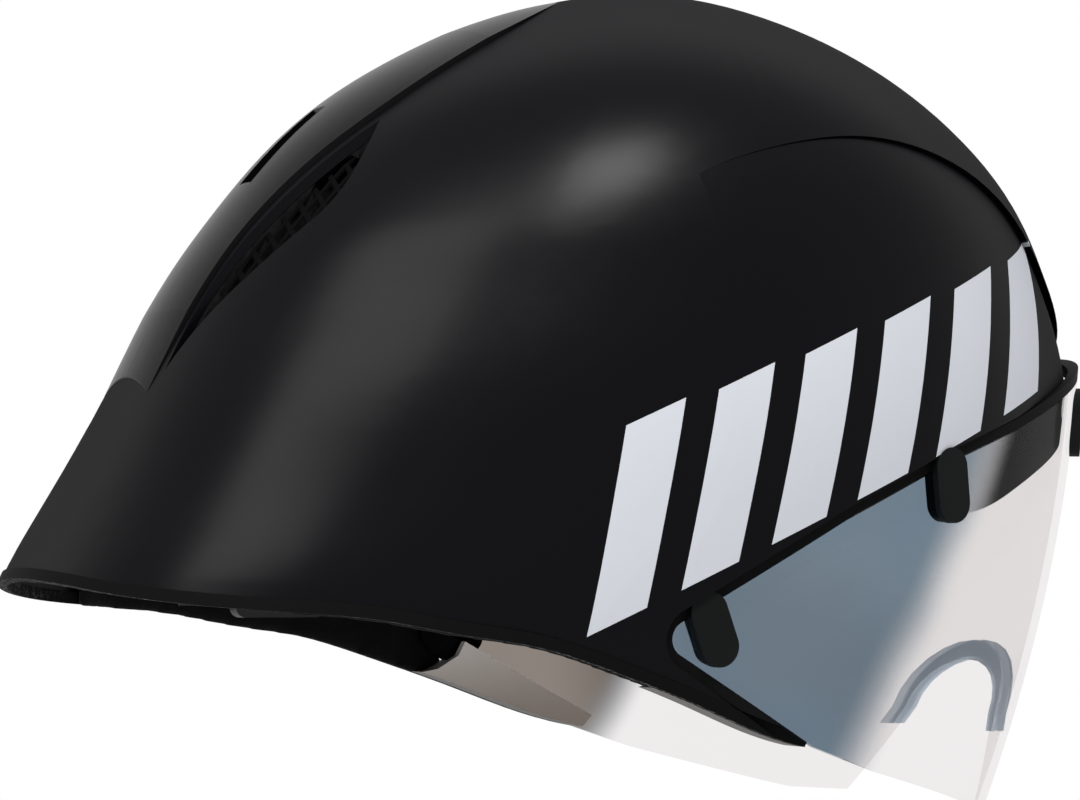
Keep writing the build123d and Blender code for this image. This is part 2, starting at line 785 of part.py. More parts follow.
def build_arm(side):
    """A racked arm round the side of the head. The left rack runs over the pinion, the right one under it."""
    inner = band_radius - band_thickness / 2
    outer = band_radius + band_thickness / 2
    pitch = 2 * pinion_pitch_radius * math.pi / pinion_teeth
    near = pinion_pitch_radius + tooth_depth / 2 + mesh_gap
    far = near + rack_height - mesh_gap
    if side > 0:
        low, high = dial_level + near, dial_level + far
    else:
        low, high = dial_level - far, dial_level - near
    full = band_ring(inner, outer, dial_level - skirt_depth, dial_level + skirt_depth)
    strip = band_ring(inner, outer, low, high)
    strip = strip & wedge(-side * rack_tail_angle, side * (arm_start_angle + arm_lap_angle))
    blade = band_ring(inner, outer, dial_level - arm_height / 2, dial_level + arm_height / 2)
    arm = strip + (blade & wedge(side * arm_start_angle, side * arm_end_angle))
    tip = math.radians(arm_end_angle)
    way = Vector(-math.cos(tip), side * math.sin(tip), 0)
    end = Plane(origin=Vector(band_axis, 0, dial_level) + way * band_radius, z_dir=way)
    arm = arm + (end * Cylinder(arm_height / 2, 4 * band_thickness) & full)
    span = math.radians(rack_tail_angle) * band_radius
    count = int(span / pitch)
    for tooth in range(-count, count + 1):
        face = low if side > 0 else high
        up = -side
        shape = tooth_outline(-tooth_depth / 4, tooth_depth)
        block = front_prism([(y + tooth * pitch, face + up * z) for y, z in shape], 2 * rail_front)
        near_rear = box_between((2 * rail_front, -cavity_half_width, -skirt_depth),
                                (band_axis, cavity_half_width, 0))
        arm = arm + (block & full & near_rear)
    return arm


def wedge(start, end):
    """A slice of the band's circle, between two angles measured from the rear."""
    reach = 2 * band_radius
    low, high = sorted((start, end))
    points = [(band_axis, 0)]
    for step in range(wedge_steps + 1):
        turn = math.radians(low + (high - low) * step / wedge_steps)
        points.append((band_axis - reach * math.cos(turn), reach * math.sin(turn)))
    return extrude(Plane.XY.offset(-skirt_depth) * make_face(Polyline(*points, close=True)), 2 * skirt_depth)


def anchor_peg(x, side, clearance=0):
    """The peg that holds an anchor in the liner's foot."""
    y = side * (strap_plane + strap_thickness / 2 + anchor_height / 3)
    return Pos(x, y, liner_foot + anchor_peg_length / 2) * Cylinder(anchor_peg_radius + clearance,
                                                                    anchor_peg_length)


def build_anchor(x, side):
    """A clamp under the liner's foot that holds the end of a strap."""
    inner = side * (strap_plane - strap_thickness)
    outer = side * (strap_plane + strap_thickness + anchor_height * 2 / 3)
    foot = liner_foot - anchor_height
    body = box_between((x - anchor_length / 2, inner, foot),
                       (x + anchor_length / 2, outer, liner_foot - bond_gap))
    slot = box_between((x - anchor_length, side * (strap_plane - rack_room), foot - cut_overrun),
                       (x + anchor_length, side * (strap_plane + strap_thickness + rack_room),
                        liner_foot - anchor_height / 3))
    peg = anchor_peg(x, side) + Pos(x, side * (strap_plane + strap_thickness / 2 + anchor_height / 3),
                                    liner_foot - bond_gap) * Cylinder(anchor_peg_radius, 2 * bond_gap)
    return body - slot + peg


def strap_ribbon(start, end, y_low, y_high):
    """A flat ribbon between two places in side view."""
    run = math.hypot(end[0] - start[0], end[1] - start[1])
    nx = -(end[1] - start[1]) / run * strap_width / 2
    nz = (end[0] - start[0]) / run * strap_width / 2
    outline = [(start[0] + nx, start[1] + nz), (end[0] + nx, end[1] + nz), (end[0] - nx, end[1] - nz),
               (start[0] - nx, start[1] - nz)]
    prism = side_prism(outline)
    return prism & box_between((-tail_reach, y_low, -2 * skirt_depth), (brow_reach, y_high, crown_height))


def build_straps(side):
    low, high = sorted((side * strap_plane, side * (strap_plane + strap_thickness)))
    middle = (divider_place, strap_level)
    rear = strap_ribbon((rear_anchor_place, liner_foot), middle, low, high)
    front = strap_ribbon((front_anchor_place, liner_foot), middle, low, high)
    room = box_between((-tail_reach, low, liner_foot - anchor_height / 3 - rack_room),
                       (brow_reach, high, crown_height))
    return (rear + front) - room


def lever_pin_place():
    return (divider_place, strap_level + divider_height / 2 - 2 * lever_pin_radius)


def build_divider(side):
    """The clip where the front and rear straps meet the chin strap."""
    inner = strap_plane - soft_gap - divider_thickness
    outer = strap_plane + strap_thickness + soft_gap + divider_thickness / 2
    low = strap_level - divider_height / 2
    high = strap_level + divider_height / 2
    left = divider_place - divider_width / 2
    right = divider_place + divider_width / 2
    body = box_between((left, side * inner, low), (right, side * outer, high))
    slot = box_between((left - cut_overrun, side * (strap_plane - soft_gap), low + divider_thickness / 4),
                       (right + cut_overrun, side * (strap_plane + strap_thickness + soft_gap),
                        high + cut_overrun))
    seat = box_between((left + divider_thickness / 2, side * (inner - cut_overrun), low - cut_overrun),
                       (right - divider_thickness / 2, side * (inner + lever_seat_depth), high + cut_overrun))
    x, z = lever_pin_place()
    y = side * (inner + lever_thickness / 2)
    pin = Pos(x, y, z) * Rot(0, 90, 0) * Cylinder(lever_pin_radius, divider_width)
    return body - slot - seat + pin


def build_lever(side):
    """The locking lever of a divider, hinged at its top."""
    inner = strap_plane - soft_gap - divider_thickness
    x, z = lever_pin_place()
    half = divider_width / 2 - divider_thickness / 2 - rack_room
    y = side * (inner + lever_thickness / 2)
    barrel = Pos(x, y, z) * Rot(0, 90, 0) * Cylinder(2 * lever_pin_radius - 2 * lever_pin_clearance, 2 * half)
    foot = strap_level - divider_height / 2 - 2 * lever_pin_radius
    plate = box_between((x - half, side * (inner - lever_thickness / 2), foot),
                        (x + half, side * (inner + lever_thickness / 2), z))
    bore = Pos(x, y, z) * Rot(0, 90, 0) * Cylinder(lever_pin_radius + lever_pin_clearance, 4 * half)
    return barrel + plate - bore


def chin_layers():
    return [strap_plane - divider_thickness - 2 * strap_thickness * layer for layer in range(chin_fold_count)]


def build_chin_strap(side):
    """The chin strap, folded back and forth for storage."""
    front = divider_place - divider_width / 2 - soft_gap
    rear = front - chin_strap_length
    low = strap_level - strap_width / 2
    high = strap_level + strap_width / 2
    layers = chin_layers()
    strap = None
    for y in layers:
        run = box_between((rear, side * y, low), (front, side * (y + strap_thickness), high))
        strap = run if strap is None else strap + run
    ends = (rear, front)
    for index, (a, b) in enumerate(zip(layers, layers[1:])):
        x = ends[index % 2]
        way = strap_thickness if index % 2 else -strap_thickness
        strap = strap + box_between((x, side * b, low), (x + way, side * (a + strap_thickness), high))
    return strap


def buckle_seat():
    front = divider_place - divider_width / 2 - buckle_set_back
    y = chin_layers()[-1] - soft_gap
    return front - buckle_length / 2, y


def build_buckle_female(side):
    x, y = buckle_seat()
    body = box_between((x - buckle_length / 2, side * (y - buckle_thickness), strap_level - buckle_width / 2),
                       (x + buckle_length / 2, side * y, strap_level + buckle_width / 2))
    body = fillet(body.edges().filter_by(Axis.Y), buckle_thickness / 2)
    mouth = box_between((x, side * (y - buckle_thickness + strap_thickness), strap_level - buckle_width / 2
                         + 2 * strap_thickness),
                        (x + buckle_length, side * (y - strap_thickness), strap_level + buckle_width / 2
                         - 2 * strap_thickness))
    bar = box_between((x - buckle_length / 2 + 2 * strap_thickness, side * (y - cut_overrun),
                       strap_level - strap_width / 2),
                      (x - buckle_length / 2 + 4 * strap_thickness, side * (y + cut_overrun),
                       strap_level + strap_width / 2))
    return body - mouth - bar


def build_buckle_male(side):
    x, y = buckle_seat()
    prong_width = buckle_width / (2 * buckle_prong_count - 1)
    low = strap_level - buckle_width / 2
    base = box_between((x - buckle_length / 2, side * (y - buckle_thickness), low),
                       (x - buckle_length / 8, side * y, low + buckle_width))
    base = fillet(base.edges().filter_by(Axis.Y), buckle_thickness / 4)
    bar = box_between((x - buckle_length / 2 + 2 * strap_thickness, side * (y - cut_overrun),
                       strap_level - strap_width / 2),
                      (x - buckle_length / 2 + 4 * strap_thickness, side * (y + cut_overrun),
                       strap_level + strap_width / 2))
    body = base - bar
    for prong in range(buckle_prong_count):
        start = low + prong_width * 2 * prong
        inner = y - buckle_thickness + 2 * strap_thickness
        body = body + box_between((x - buckle_length / 4, side * inner, start),
                                  (x + buckle_length / 2, side * (y - strap_thickness), start + prong_width))
    return body


def build_cradle_pad():
    gap = soft_gap
    top = dial_level + housing_height / 2
    low = dial_level - housing_height / 2
    body = box_between((housing_front + gap, -housing_half_width, low),
                       (housing_front + gap + pad_thickness, housing_half_width, top))
    return fillet(body.edges().filter_by(Axis.X), pad_thickness)


def build_cover_screws(clearance=0):
    screws = []
    for y in (-1, 1):
        for z in (-1, 1):
            across = y * (housing_half_width - screw_inset)
            up = dial_level + z * (housing_height / 2 - screw_inset * 2 / 3)
            screws.append(rod_along_x(housing_split - screw_grip, housing_front, across, up,
                                      screw_radius + clearance))
    return screws


def build_parts():
    forms = build_forms()
    opening = face_opening()
    lens = build_lens()
    outer_magnets = magnet_places(forms["outer"])
    tabs, tab_magnets = build_tabs(forms)
    add("outer_shell", build_shell(forms, opening))
    add("rim_trim", build_trim(forms, opening))
    add("eps_liner", build_liner(forms, opening))
    for side, hand in ((1, "left"), (-1, "right")):
        add(f"ear_panel_{hand}", build_ear_panel(forms, opening, side))
        add(f"neck_pad_{hand}", build_neck_pad(forms, side))
    add("tail_spine", build_spine(forms))
    add("spine_screws", [spine_screw(forms["outer"], side, 0) for side in (1, -1)])
    add("vent_mesh", build_vent_mesh(forms))
    add("visor_seal", build_visor_seal(forms))
    add("shell_magnets", [magnet(place, outward) for place, outward in outer_magnets])
    add("visor_lens", lens)
    add("nose_seal", build_nose_seal(lens))
    for name, tab in tabs.items():
        add(name, tab)
    add("tab_magnets", tab_magnets)
    for name, part in build_pads(opening).items():
        add(name, part)
    add("height_rail", build_rail())
    add("dial_housing", build_housing())
    add("housing_cover", build_cover())
    add("cover_screws", build_cover_screws())
    add("dial_pinion", build_pinion())
    add("dial_knob", build_knob())
    add("fit_arm_left", build_arm(1))
    add("fit_arm_right", build_arm(-1))
    add("nape_pad", build_cradle_pad())
    for side, hand in ((1, "left"), (-1, "right")):
        add(f"strap_anchors_{hand}", [build_anchor(x, side) for x in (rear_anchor_place, front_anchor_place)])
        add(f"ear_straps_{hand}", build_straps(side))
        add(f"strap_divider_{hand}", build_divider(side))
        add(f"divider_lever_{hand}", build_lever(side))
        add(f"chin_strap_{hand}", build_chin_strap(side))
    add("buckle_socket", build_buckle_female(1))
    add("buckle_prongs", build_buckle_male(-1))


def write_parts():
    os.makedirs("parts", exist_ok=True)
    for name, part in nodes.items():
        pieces = part if isinstance(part, list) else [part]
        solids = [solid for piece in pieces for solid in piece.solids()]
        shape = solids[0] if len(solids) == 1 else Compound(children=solids)
        export_step(shape, f"parts/{name}.step")


build_parts()
write_parts()
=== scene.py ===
import bmesh
import bpy
import json
import math
import numpy as np
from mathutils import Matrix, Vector


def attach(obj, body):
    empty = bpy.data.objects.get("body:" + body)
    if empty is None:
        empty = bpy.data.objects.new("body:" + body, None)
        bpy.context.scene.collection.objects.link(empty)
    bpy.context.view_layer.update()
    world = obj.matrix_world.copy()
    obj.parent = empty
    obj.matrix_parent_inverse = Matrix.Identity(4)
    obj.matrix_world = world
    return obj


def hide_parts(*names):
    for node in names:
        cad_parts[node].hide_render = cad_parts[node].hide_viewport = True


# Looks of the aero time trial helmet, in metres, in the frame of the solids
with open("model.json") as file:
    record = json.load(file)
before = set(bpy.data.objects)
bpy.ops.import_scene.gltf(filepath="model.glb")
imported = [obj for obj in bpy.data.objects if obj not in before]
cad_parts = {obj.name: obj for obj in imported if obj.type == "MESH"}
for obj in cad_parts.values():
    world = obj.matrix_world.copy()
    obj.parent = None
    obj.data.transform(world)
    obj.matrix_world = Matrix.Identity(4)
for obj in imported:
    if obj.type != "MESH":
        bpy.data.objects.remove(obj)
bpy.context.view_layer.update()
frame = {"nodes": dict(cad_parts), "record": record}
MM = 0.001

# Camera: beside the wearer's right, turned 23.5 degrees towards the rear and a little below level
CAMERA_AZIMUTH = math.radians(-23.5)
CAMERA_ELEVATION = math.radians(-2.5)
CAMERA_DISTANCE = 1.1
CAMERA_TARGET = Vector((-0.035, 0.0, 0.0))
FOCAL_PX = 3820
FRAME_WIDTH_PX = 1080
SENSOR_WIDTH = 36
CLIP_START = 50 * MM

# Room
FLOOR_LEVEL = -0.32
FLOOR_SIZE = 60.0
FLOOR_TONE = 0.85
FLOOR_NEAR = 0.6
FLOOR_FAR = 2.2
WHITE = (1.0, 1.0, 1.0, 1.0)
SKY_COLOUR = (0.93, 0.96, 1.0, 1.0)
SKY_STRENGTH = 0.35


# Shader helpers


def new_material(name):
    material = bpy.data.materials.new(name)
    material.use_nodes = True
    tree = material.node_tree
    shader = tree.nodes["Principled BSDF"]
    return material, tree, shader


def set_inputs(shader, **values):
    names = {"color": "Base Color", "rough": "Roughness", "metal": "Metallic",
             "specular": "Specular IOR Level", "coat": "Coat Weight", "coat_rough": "Coat Roughness",
             "sheen": "Sheen Weight", "sheen_rough": "Sheen Roughness", "ior": "IOR",
             "transmission": "Transmission Weight"}
    for key, value in values.items():
        shader.inputs[names[key]].default_value = value


def add_node(tree, kind, **settings):
    node = tree.nodes.new(kind)
    for key, value in settings.items():
        setattr(node, key, value)
    return node


def object_place(tree):
    return add_node(tree, "ShaderNodeTexCoord").outputs["Object"]


def math_node(tree, operation, first, second=None):
    node = add_node(tree, "ShaderNodeMath", operation=operation)
    for socket, value in zip(node.inputs, (first, second)):
        if value is None:
            continue
        if isinstance(value, (int, float)):
            socket.default_value = value
        else:
            tree.links.new(value, socket)
    return node.outputs[0]


def parts_of(tree, vector):
    """The X, Y and Z of a vector."""
    node = add_node(tree, "ShaderNodeSeparateXYZ")
    tree.links.new(vector, node.inputs[0])
    return node.outputs


def split_place(tree):
    """The place of a point in the frame, as X, Y and Z."""
    return parts_of(tree, object_place(tree))


def facing_down(tree, start, end):
    """Rises from zero to one as a face turns downwards."""
    normal = add_node(tree, "ShaderNodeNewGeometry").outputs["Normal"]
    return remap(tree, parts_of(tree, normal)[2], start, end)


def noise_value(tree, scale, detail=3.0, rough=0.55):
    node = add_node(tree, "ShaderNodeTexNoise")
    node.inputs["Scale"].default_value = scale
    node.inputs["Detail"].default_value = detail
    node.inputs["Roughness"].default_value = rough
    tree.links.new(object_place(tree), node.inputs["Vector"])
    return node.outputs["Fac"]


def remap(tree, value, low, high, new_low=0.0, new_high=1.0, smooth=False):
    node = add_node(tree, "ShaderNodeMapRange")
    if smooth:
        node.interpolation_type = "SMOOTHSTEP"
    tree.links.new(value, node.inputs["Value"])
    for name, number in (("From Min", low), ("From Max", high), ("To Min", new_low), ("To Max", new_high)):
        node.inputs[name].default_value = number
    return node.outputs["Result"]


def mix_colour(tree, factor, first, second):
    node = add_node(tree, "ShaderNodeMix", data_type="RGBA")
    tree.links.new(factor, node.inputs["Factor"])
    for index, value in ((6, first), (7, second)):
        if isinstance(value, tuple):
            node.inputs[index].default_value = value
        else:
            tree.links.new(value, node.inputs[index])
    return node.outputs[2]


def add_bump(tree, shader, height, strength, distance):
    node = add_node(tree, "ShaderNodeBump")
    node.inputs["Strength"].default_value = strength
    node.inputs["Distance"].default_value = distance
    tree.links.new(height, node.inputs["Height"])
    tree.links.new(node.outputs["Normal"], shader.inputs["Normal"])


def grey(value, tint=(1.0, 1.0, 1.0)):
    return (value * tint[0], value * tint[1], value * tint[2], 1.0)


def darker(colour, share):
    return tuple(c * share for c in colour[:3]) + (1.0,)


# The noise's values lie mostly between these
NOISE_LOW = 0.3
NOISE_HIGH = 0.7
# Depths of bumps
FINE_GRAIN = 0.2 * MM
COARSE_GRAIN = 0.3 * MM
BEAD_DEPTH = 0.6 * MM


def vary(tree, shader, scale, dark, light):
    """Slow variation of the base colour between two colours."""
    patch = noise_value(tree, scale)
    spread = remap(tree, patch, NOISE_LOW, NOISE_HIGH)
    tree.links.new(mix_colour(tree, spread, dark, light), shader.inputs["Base Color"])


def voronoi_distance(tree, scale):
    node = add_node(tree, "ShaderNodeTexVoronoi", feature="F1")
    node.inputs["Scale"].default_value = scale
    tree.links.new(object_place(tree), node.inputs["Vector"])
    return node.outputs["Distance"]


# Materials

# Stripes above the visor: a row of leaning bars, in side view
STRIPE_STEP = 27 * MM
STRIPE_WIDTH = 17 * MM
STRIPE_LEAN = 0.20
STRIPE_START = -62 * MM
STRIPE_END = 100 * MM
STRIPE_FOOT_AT_ORIGIN = -38.5 * MM
STRIPE_FOOT_SLOPE = 0.45
STRIPE_TALL = 51 * MM
STRIPE_SHORT = 39 * MM


def stripe_mask(tree):
    """One where a leaning bar of the shell's graphic lies, zero elsewhere."""
    place = split_place(tree)
    x = place["X"]
    z = place["Z"]
    foot = math_node(tree, "ADD", math_node(tree, "MULTIPLY", x, STRIPE_FOOT_SLOPE), STRIPE_FOOT_AT_ORIGIN)
    above = math_node(tree, "SUBTRACT", z, foot)
    lean = math_node(tree, "SUBTRACT", x, math_node(tree, "MULTIPLY", above, STRIPE_LEAN))
    along = math_node(tree, "DIVIDE", math_node(tree, "SUBTRACT", lean, STRIPE_START), STRIPE_STEP)
    in_bar = math_node(tree, "LESS_THAN", math_node(tree, "FRACT", along), STRIPE_WIDTH / STRIPE_STEP)
    after_start = math_node(tree, "GREATER_THAN", along, 0.0)
    last = (STRIPE_END - STRIPE_START) / STRIPE_STEP
    before_end = math_node(tree, "LESS_THAN", along, last)
    step = math_node(tree, "FLOOR", along)
    tall = math_node(tree, "ADD", math_node(tree, "MULTIPLY", step, (STRIPE_SHORT - STRIPE_TALL) / last),
                     STRIPE_TALL)
    under_top = math_node(tree, "LESS_THAN", above, tall)
    over_foot = math_node(tree, "GREATER_THAN", above, 0.0)
    mask = in_bar
    for test in (after_start, before_end, under_top, over_foot):
        mask = math_node(tree, "MULTIPLY", mask, test)
    return mask


BLACK_PAINT = grey(0.0015, (0.95, 0.9, 1.4))
STRIPE_PAINT = grey(0.54, (0.95, 0.98, 1.04))
# The satin paint turns matter where it is seen at a slant
SATIN_LOW = 0.265
SATIN_HIGH = 0.305
EDGE_START = 0.4
EDGE_ROUGHER = 0.65


def shell_material():
    material, tree, shader = new_material("shell_paint")
    set_inputs(shader, rough=0.28, specular=0.07)
    mask = stripe_mask(tree)
    tree.links.new(mix_colour(tree, mask, BLACK_PAINT, STRIPE_PAINT), shader.inputs["Base Color"])
    patches = noise_value(tree, scale=14.0, detail=4.0)
    haze = remap(tree, patches, NOISE_LOW, NOISE_HIGH, SATIN_LOW, SATIN_HIGH)
    slant = add_node(tree, "ShaderNodeLayerWeight").outputs["Facing"]
    edge = remap(tree, slant, EDGE_START, 1.0, 0.0, EDGE_ROUGHER)
    tree.links.new(math_node(tree, "ADD", haze, edge), shader.inputs["Roughness"])
    grain = noise_value(tree, scale=900.0, detail=2.0)
    add_bump(tree, shader, grain, strength=0.04, distance=FINE_GRAIN)
    return material


def rubber_material(name, colour, rough=0.7):
    material, tree, shader = new_material(name)
    set_inputs(shader, color=colour, rough=rough, specular=0.06)
    vary(tree, shader, scale=60.0, dark=darker(colour, 0.75), light=colour)
    add_bump(tree, shader, noise_value(tree, scale=1400.0), strength=0.15, distance=FINE_GRAIN)
    return material


TRIM_BLACK = grey(0.004)
TRIM_SPECK = grey(0.16)


def trim_material():
    """Black bead with pale specks on its underside."""
    material, tree, shader = new_material("rim_trim")
    set_inputs(shader, rough=0.7, specular=0.03)
    speck = remap(tree, noise_value(tree, scale=700.0, detail=4.0, rough=0.7), low=0.52, high=0.62)
    # Pale specks only on faces that point down
    speckled = math_node(tree, "MULTIPLY", speck, facing_down(tree, start=-0.25, end=-0.75))
    tree.links.new(mix_colour(tree, speckled, TRIM_BLACK, TRIM_SPECK), shader.inputs["Base Color"])
    grain = noise_value(tree, scale=800.0, detail=4.0)
    add_bump(tree, shader, grain, strength=0.3, distance=COARSE_GRAIN)
    return material


# Textures of foam, knit and webbing: their scales, then their colours
BEAD_SCALE = 330.0
KNIT_SCALE = 1500.0
WEAVE_SCALE = 260.0
FOAM_BEAD = grey(0.008)
FOAM_GAP_SHADE = grey(0.003)
WEBBING_DARK = grey(0.008)
WEBBING_LIGHT = grey(0.03)


def foam_material():
    """Beaded black foam, with painted shade darkening each bead towards the gaps between beads."""
    material, tree, shader = new_material("liner_foam")
    set_inputs(shader, rough=0.85, specular=0.05)
    beads = voronoi_distance(tree, BEAD_SCALE)
    # Painted shade: each bead darkens from its middle towards the gaps
    gap_shade = remap(tree, beads, low=0.0, high=0.8)
    tree.links.new(mix_colour(tree, gap_shade, FOAM_BEAD, FOAM_GAP_SHADE), shader.inputs["Base Color"])
    rise = math_node(tree, "SUBTRACT", 1.0, beads)
    add_bump(tree, shader, rise, strength=0.5, distance=BEAD_DEPTH)
    return material


# The inner cheek panel carries painted light and shade: paler upwards and rearwards, darker towards the
# bottom, the front and the underside
PANEL_LOW = -98 * MM
PANEL_HIGH = -66 * MM
PANEL_REAR = -45 * MM
PANEL_FRONT = 30 * MM
PANEL_PAINTED_LIGHT = (0.82, 0.76, 0.71, 1.0)
PANEL_FRONT_SHADE = (0.52, 0.45, 0.40, 1.0)
PANEL_LOW_SHADE = (0.36, 0.30, 0.26, 1.0)
PANEL_UNDERSIDE_SHADE = (0.12, 0.11, 0.10, 1.0)


def panel_material():
    """Smooth tan-grey inner panel, with painted shade darker towards its lower edge, its front and its
    underside, and painted light paler upwards and rearwards.
    """
    material, tree, shader = new_material("ear_panel")
    set_inputs(shader, rough=0.5, specular=0.4)
    place = split_place(tree)
    # Painted light and shade: paler high up and to the rear, darker low down and to the front
    rise = remap(tree, place["Z"], PANEL_LOW, PANEL_HIGH, smooth=True)
    ahead = remap(tree, place["X"], PANEL_REAR, PANEL_FRONT, smooth=True)
    face = mix_colour(tree, rise, PANEL_LOW_SHADE, mix_colour(tree, ahead, PANEL_PAINTED_LIGHT, PANEL_FRONT_SHADE))
    # Painted shade on faces that point down
    underside_shade = facing_down(tree, start=-0.4, end=-0.75)
    tree.links.new(mix_colour(tree, underside_shade, face, PANEL_UNDERSIDE_SHADE), shader.inputs["Base Color"])
    add_bump(tree, shader, noise_value(tree, scale=500.0), strength=0.08, distance=FINE_GRAIN)
    return material


def fabric_material(name, colour):
    """Brushed knit over foam."""
    material, tree, shader = new_material(name)
    set_inputs(shader, rough=0.9, specular=0.04, sheen=0.03, sheen_rough=0.5)
    vary(tree, shader, scale=90.0, dark=darker(colour, 0.6), light=colour)
    add_bump(tree, shader, voronoi_distance(tree, KNIT_SCALE), strength=0.4, distance=COARSE_GRAIN)
    return material


def webbing_material():
    """Woven strap: two sets of fine bands that cross."""
    material, tree, shader = new_material("webbing")
    set_inputs(shader, rough=0.75, specular=0.3, sheen=0.2, sheen_rough=0.4)
    weave = None
    for axis in ("X", "Z"):
        wave = add_node(tree, "ShaderNodeTexWave", wave_type="BANDS", bands_direction=axis)
        wave.inputs["Scale"].default_value = WEAVE_SCALE
        tree.links.new(object_place(tree), wave.inputs["Vector"])
        bands = wave.outputs["Fac"]
        weave = bands if weave is None else math_node(tree, "MULTIPLY", weave, bands)
    tree.links.new(mix_colour(tree, weave, WEBBING_DARK, WEBBING_LIGHT), shader.inputs["Base Color"])
    add_bump(tree, shader, weave, strength=0.6, distance=COARSE_GRAIN)
    return material


def plastic_material(name, colour, rough=0.45, specular=0.3):
    material, tree, shader = new_material(name)
    set_inputs(shader, color=colour, rough=rough, specular=specular)
    vary(tree, shader, scale=40.0, dark=darker(colour, 0.8), light=colour)
    add_bump(tree, shader, noise_value(tree, scale=1100.0), strength=0.12, distance=FINE_GRAIN)
    return material


# Shares of the metal's roughness
METAL_SMOOTHEST = 0.8
METAL_ROUGHEST = 1.3


def metal_material(name, colour, rough):
    material, tree, shader = new_material(name)
    set_inputs(shader, color=colour, rough=rough, metal=1.0)
    scratch = noise_value(tree, scale=900.0, detail=5.0)
    speckled = remap(tree, scratch, NOISE_LOW, NOISE_HIGH, rough * METAL_SMOOTHEST, rough * METAL_ROUGHEST)
    tree.links.new(speckled, shader.inputs["Roughness"])
    return material


# The lens tint changes along a leaning line in side view
TINT_LEAN = 0.561
TINT_EDGE = 75 * MM
TINT_BLUR = 11 * MM
CLEAR_TINT = (0.86, 0.84, 0.84, 1.0)
SMOKE_BLUE = (0.175, 0.235, 0.295, 1.0)
SMOKE_PALE = (0.19, 0.24, 0.29, 1.0)
# Seen from inside, the mirrored part of the lens is painted brown shade, paler at the rear and darker
# towards the front
BROWN_REAR = 0.0
BROWN_FRONT = 45 * MM
BROWN_SHADE_PALE = (0.26, 0.225, 0.20, 1.0)
BROWN_SHADE_DEEP = (0.12, 0.095, 0.08, 1.0)
LENS_MIDDLE = 20 * MM
LENS_GLOSS = 0.1
LENS_MIRROR = 0.85


def seen_from_inside(tree, x, y):
    """One where the face that is looked at points towards the head, zero on the outside."""
    normal = parts_of(tree, add_node(tree, "ShaderNodeTexCoord").outputs["Normal"])
    ahead = math_node(tree, "SUBTRACT", x, LENS_MIDDLE)
    outward = math_node(tree, "ADD", math_node(tree, "MULTIPLY", ahead, normal[0]),
                        math_node(tree, "MULTIPLY", y, normal[1]))
    return math_node(tree, "LESS_THAN", outward, 0.0)


def lens_material():
    """Mirrored at the temples, blue outside and painted brown shade inside, and clear at the front."""
    material, tree, shader = new_material("visor_lens")
    set_inputs(shader, rough=0.0, ior=1.0, transmission=1.0, coat=LENS_GLOSS, coat_rough=0.0)
    x, y, z = split_place(tree)
    edge = math_node(tree, "SUBTRACT", x, math_node(tree, "MULTIPLY", z, TINT_LEAN))
    drift = noise_value(tree, scale=9.0, detail=2.0)
    wander = remap(tree, drift, NOISE_LOW, NOISE_HIGH, -TINT_BLUR / 2, TINT_BLUR / 2)
    edge = math_node(tree, "ADD", edge, wander)
    front = remap(tree, edge, TINT_EDGE - TINT_BLUR, TINT_EDGE + TINT_BLUR, smooth=True)
    streak = remap(tree, noise_value(tree, scale=22.0, detail=1.0), low=0.35, high=0.65)
    tint = mix_colour(tree, front, mix_colour(tree, streak, SMOKE_BLUE, SMOKE_PALE), CLEAR_TINT)
    inside = seen_from_inside(tree, x, y)
    coated = math_node(tree, "SUBTRACT", 1.0, front)
    brown_shade_mask = math_node(tree, "MULTIPLY", coated, inside)
    mirror = math_node(tree, "MULTIPLY", coated, math_node(tree, "SUBTRACT", 1.0, inside))
    tree.links.new(math_node(tree, "MULTIPLY", mirror, LENS_MIRROR), shader.inputs["Metallic"])
    # Painted shade: the brown inside darkens from the rear towards the front
    ahead = remap(tree, x, BROWN_REAR, BROWN_FRONT, smooth=True)
    brown = mix_colour(tree, ahead, BROWN_SHADE_PALE, BROWN_SHADE_DEEP)
    tree.links.new(mix_colour(tree, brown_shade_mask, tint, brown), shader.inputs["Base Color"])
    return material


MILKY_DARK = (0.62, 0.70, 0.78, 1.0)
MILKY_LIGHT = (0.70, 0.77, 0.84, 1.0)


def clear_seal_material():
    """Soft milky rubber on the nose arch of the lens."""
    material, tree, shader = new_material("clear_seal")
    set_inputs(shader, rough=0.35, specular=0.4, ior=1.1, transmission=0.6)
    vary(tree, shader, scale=60.0, dark=MILKY_DARK, light=MILKY_LIGHT)
    grain = noise_value(tree, scale=900.0, detail=2.0)
    add_bump(tree, shader, grain, strength=0.06, distance=FINE_GRAIN)
    return material


MATERIALS = {
    "shell_paint": shell_material(),
    "trim": trim_material(),
    "foam_liner": foam_material(),
    "ear_panel": panel_material(),
    "pad_fabric": fabric_material("pad_fabric", grey(0.006)),
    "spine": plastic_material("spine", grey(0.0015), 0.3, 0.06),
    "screw": metal_material("screw", grey(0.45), 0.35),
    "mesh": plastic_material("mesh", grey(0.002), 0.8, 0.03),
    "seal": rubber_material("seal", grey(0.003)),
    "clear_seal": clear_seal_material(),
    "magnet": metal_material("magnet", grey(0.6), 0.25),
    "lens": lens_material(),
    "tab": rubber_material("tab", (0.006, 0.007, 0.007, 1.0), 0.55),
    "nylon": plastic_material("nylon", grey(0.02)),
    "webbing": webbing_material(),
}


# Pads: swollen from the solids by cloth pressure
PAD_VOXEL = 1.3 * MM
PAD_CAP = 1.5 * MM
PAD_OUTWARD_CAP = 0.1 * MM
PAD_FRAMES = 12
PAD_PRESSURE = 4.0
PAD_MASS = 0.2
PAD_QUALITY = 4
PAD_SMOOTHING = 0.5
PAD_SMOOTHINGS = 2
TINY = 1e-9
